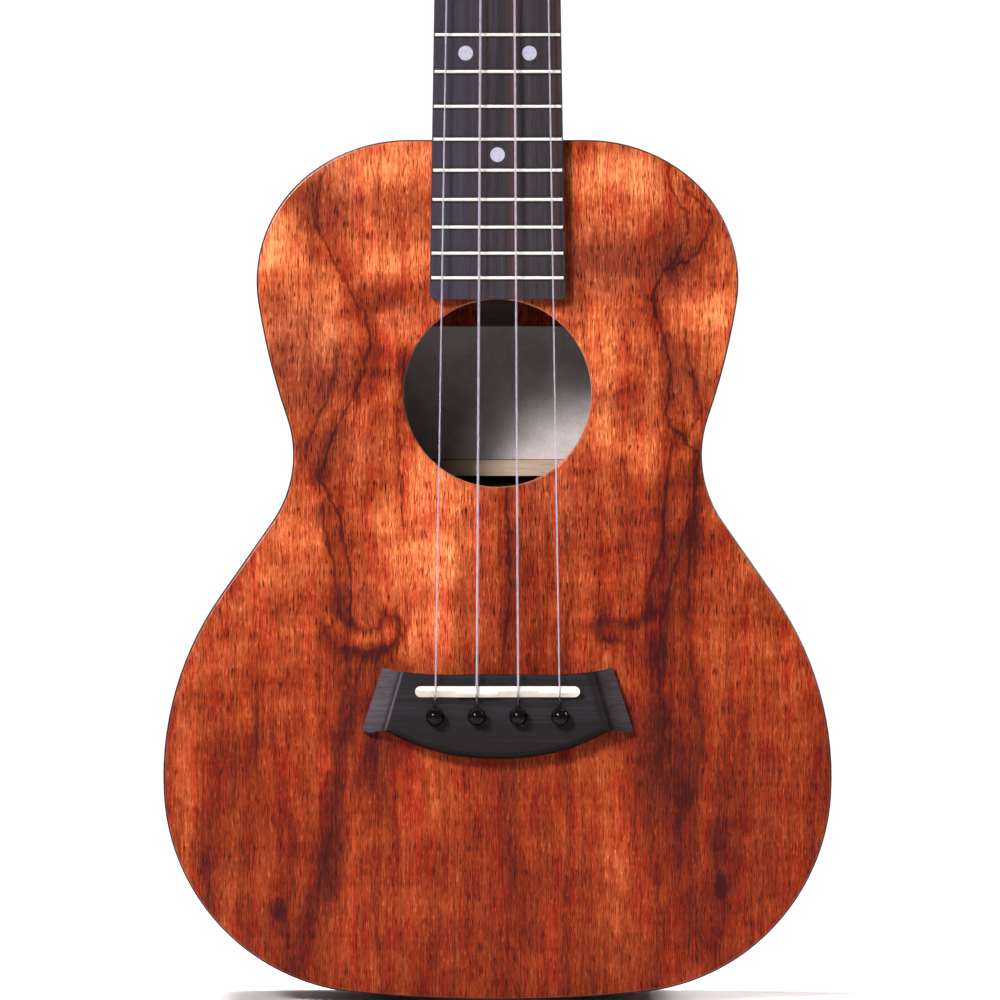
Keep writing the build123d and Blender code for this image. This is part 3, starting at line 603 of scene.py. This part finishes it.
def dress_body():
    """Soundboard, back and sides, and the wood and paper inside them."""
    wear(koa("koa_left", lambda p: p.x, lambda p: p.z, 3.0, 0.53, LEFT), "soundboard_left")
    wear(koa("koa_right", lambda p: p.x, lambda p: p.z, 11.0, 0.50, RIGHT), "soundboard_right")
    wear(koa("koa_back", lambda p: p.x.size(), lambda p: p.z, 21.0, 0.46), "back_left", "back_right")
    wear(koa("koa_side", lambda p: p.y, lambda p: p.z + p.x, 31.0, 0.40), "side_left", "side_right")
    wear(plain_wood("lining_wood", PALE_WOOD), "linings")
    wear(plain_wood("brace_wood", PALE_WOOD), "top_braces")
    wear(plain_wood("back_brace_wood", GREY_WOOD, axis="x"), "back_braces")
    # The seam strip takes the dark palette of painted shade
    wear(plain_wood("shaded_strip_wood", SHADED_STRIP_WOOD, axis="x"), "back_seam_strip")
    wear(plain_wood("plate_wood", PALE_WOOD, axis="x"), "bridge_plate")
    wear(paper_material(), "label")


def dress_neck():
    """Neck and blocks, heel cap, headstock, and fingerboard with its frets and dots."""
    mahogany = plain_wood("mahogany", MAHOGANY, rough=0.42, Coat_Weight=0.1, Coat_Roughness=0.3)
    wear(mahogany, "neck", "neck_block", "tail_block")
    wear(plain_wood("dark_wood", DARK_WOOD, rough=0.35), "heel_cap")
    wear(koa("koa_head", lambda p: p.x.size(), lambda p: p.z, 41.0, 0.5), "headstock_veneer")
    wear(board_wood(), "fingerboard")
    wear(fret_metal(), "frets")
    pearl = smooth_stuff("pearl", (184, 182, 200), (166, 165, 186), 0.9, rough=0.35, Specular_IOR_Level=0.2)
    wear(pearl, "fret_markers", "side_dots")


def dress_hardware():
    """Bridge, nut and saddle, pins, strings, tuners and bolts."""
    wear(bridge_wood(), "bridge")
    wear(smooth_stuff("bone", (244, 238, 228), (232, 224, 210), 0.3, rough=0.34, Coat_Weight=0.2),
         "nut", "saddle")
    nylon = string_material()
    black = smooth_stuff("pin_black", (10, 9, 12), (16, 14, 17), 0.4, rough=0.07, spread=0.02,
                         Specular_IOR_Level=0.12)
    knob = smooth_stuff("button_black", (14, 13, 15), (24, 22, 24), 0.3, rough=0.22, spread=0.08,
                        Specular_IOR_Level=0.3)
    plating = metal("tuner_plating", (200, 200, 204), (188, 188, 193), 0.18)
    brass = metal("gear_brass", (206, 164, 92), (170, 126, 66), 0.24)
    for name in STRINGS:
        wear(nylon, "string_" + name, "string_winding_" + name)
        wear(black, "bridge_pin_" + name)
        wear(knob, "button_" + name)
        wear(brass, "gear_" + name)
        wear(plating, "worm_shaft_" + name, "post_" + name, "gear_screw_" + name)
    wear(plating, "tuner_plates", "tuner_bushings", "plate_screws")
    wear(metal("bolt_steel", (150, 148, 146), (112, 110, 108), 0.34), "neck_bolts")


def lay_floor():
    """Pale floor just under the object."""
    half = 5.0
    middle = Vector((0, -2.5, cad_box[0][2] - 0.0005))
    signs = ((-1, -1), (1, -1), (1, 1), (-1, 1))
    corners = [middle + Vector((x * half, y * half, 0)) for x, y in signs]
    mesh = bpy.data.meshes.new("floor")
    mesh.from_pydata(corners, [], [(0, 1, 2, 3)])
    mesh.materials.append(smooth_stuff("floor_paint", (240, 240, 240), (236, 236, 236), 0.01, rough=0.8))
    floor = bpy.data.objects.new("floor", mesh)
    bpy.context.scene.collection.objects.link(floor)


def light_world():
    """Plain white surroundings: dim in front, bright behind, less so overhead."""
    world = bpy.data.worlds.new("studio")
    bpy.context.scene.world = world
    world.use_nodes = True
    tree = world.node_tree
    shade = tree.nodes["Background"]
    spot = tree.nodes.new("ShaderNodeTexCoord").outputs["Generated"]
    split = tree.nodes.new("ShaderNodeSeparateXYZ")
    tree.links.new(spot, split.inputs[0])
    behind = Field(tree, split.outputs[1]).fade(-0.1, 0.3)
    strength = behind * Field(tree, split.outputs[2]).fade(0.3, 0.7, 0.96, 0.30) + 0.09
    tree.links.new(strength.socket, shade.inputs["Strength"])
    shade.inputs["Color"].default_value = (1, 1, 1, 1)


def softbox(name, spot, target, size, power, colour, spread):
    """Area light aimed at a point."""
    light = bpy.data.lights.new(name, "AREA")
    light.shape = "RECTANGLE"
    light.size, light.size_y = size
    light.energy = power
    light.color = colour
    light.spread = radians(spread)
    lamp = bpy.data.objects.new(name, light)
    lamp.location = spot
    lamp.rotation_euler = (Vector(target) - Vector(spot)).to_track_quat("-Z", "Y").to_euler()
    bpy.context.scene.collection.objects.link(lamp)


def set_camera():
    """Long lens straight in front, with the photograph's framing."""
    lens = bpy.data.cameras.new("camera")
    lens.sensor_width = SENSOR_WIDTH
    lens.lens = SENSOR_WIDTH * CAMERA_DISTANCE / PICTURE_WIDTH
    lens.clip_end = 50
    camera = bpy.data.objects.new("camera", lens)
    camera.location = Vector(PICTURE_MIDDLE) - Vector((0, CAMERA_DISTANCE, 0))
    camera.rotation_euler = (pi / 2, 0, 0)
    bpy.context.scene.collection.objects.link(camera)
    bpy.context.scene.camera = camera
    bpy.context.scene.view_settings.view_transform = "Standard"


def studio():
    """Floor, surroundings, lights and camera."""
    lay_floor()
    light_world()
    warm, soft, white = (1.0, 0.98, 0.96), (1.0, 0.99, 0.98), (1.0, 1.0, 1.0)
    softbox("key", (-0.75, -1.27, 0.42), (0, -0.01, -0.34), (0.32, 0.32), 1.0, warm, 28)
    softbox("soft", (-0.62, -1.45, 0.32), (0, -0.01, -0.39), (0.5, 0.5), 0.64, soft, 60)
    softbox("rim", (0.9, 0.15, 0.05), (0, -0.02, -0.45), (0.1, 0.4), 1.0, soft, 40)
    softbox("hair", (-0.5, 0.38, 0.75), (0, -0.02, -0.45), (0.5, 0.14), 2.4, white, 60)
    softbox("floor_light", (0, 2.35, 1.2), (0, 2.34, -0.5), (4.4, 3.8), 60, white, 30)
    set_camera()


dress_body()
dress_neck()
dress_hardware()
studio()
